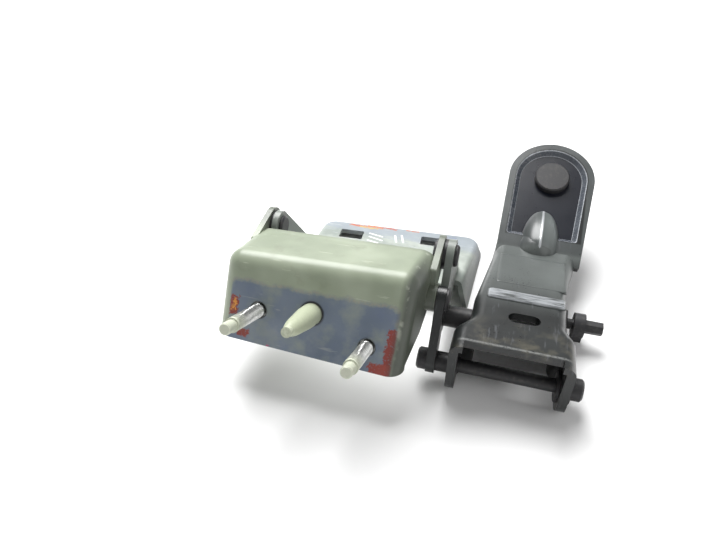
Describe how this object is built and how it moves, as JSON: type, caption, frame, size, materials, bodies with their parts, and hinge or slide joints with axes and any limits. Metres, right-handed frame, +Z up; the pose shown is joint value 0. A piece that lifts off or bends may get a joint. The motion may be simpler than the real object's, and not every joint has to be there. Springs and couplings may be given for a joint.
{
  "type": "trunk lid hinge",
  "caption": "Pressed steel trunk lid hinge: box bracket with weld studs, lid bracket with windows, bar link and slotted channel arm with a raised lug, riveted as a linkage.",
  "frame": {"origin": "centre of the overall box on the surface that the hinge lies on", "axes": "+X along the pivot pins towards the stepped stud, +Y away from the weld studs, +Z up from the surface"},
  "size_m": [0.2146, 0.2495, 0.0751],
  "materials": {
    "sage_paint": "satin sage-green primer with a bare blue-grey contact patch and red paint remnants",
    "zinc": "zinc-plated thread with overspray at the tips",
    "grey_paint": "light grey-green body paint, scuffed",
    "black_paint": "semi-gloss black coating, scuffed at edges",
    "dark_steel": "phosphated dark steel with scuffs",
    "black_plastic": "matt black moulding",
    "bush_brass": "plain bearing bush"
  },
  "bodies": {
    "body_bracket": {"body_bracket": "sage_paint", "stud_left": "zinc", "stud_right": "zinc", "locating_pin": "sage_paint", "ear_rivet_left": "dark_steel", "ear_rivet_right": "dark_steel", "ear_washer_left": "dark_steel", "ear_washer_right": "dark_steel", "link_rivet": "dark_steel"},
    "lid_bracket": {"lid_bracket": "grey_paint", "ear_bush_left": "bush_brass", "ear_bush_right": "bush_brass", "arm_rivet": "dark_steel", "arm_spacer": "dark_steel"},
    "control_link": {"control_link": "black_paint", "link_bush_upper": "bush_brass", "link_bush_lower": "bush_brass"},
    "lever_arm": {"lever_arm": "black_paint", "arm_bush": "bush_brass", "pivot_pin": "dark_steel", "pin_washer_inner": "dark_steel", "pin_washer_outer": "dark_steel", "link_spacer": "dark_steel", "stepped_stud": "dark_steel", "stud_clip": "black_plastic", "lug_rivet": "dark_steel", "lug_washer": "dark_steel"}
  },
  "joints": [
    {"name": "lid_bracket_swing", "type": "hinge", "parent": "body_bracket", "child": "lid_bracket", "pos_m": [0, -0.019, 0.0565], "axis": [1, 0, 0], "range_deg": [0, 90]},
    {"name": "link_swing", "type": "hinge", "parent": "body_bracket", "child": "control_link", "pos_m": [0.012, -0.0465, 0.046], "axis": [1, 0, 0], "range_deg": [0, 90]},
    {"name": "arm_swing", "type": "hinge", "parent": "lid_bracket", "child": "lever_arm", "pos_m": [0.0295, -0.036, 0.024], "axis": [1, 0, 0], "range_deg": [-90, 0]}
  ],
  "couplings": [
    {"joint": "link_swing", "follows": "lid_bracket_swing", "ratio": 1},
    {"joint": "arm_swing", "follows": "lid_bracket_swing", "ratio": -1}
  ]
}
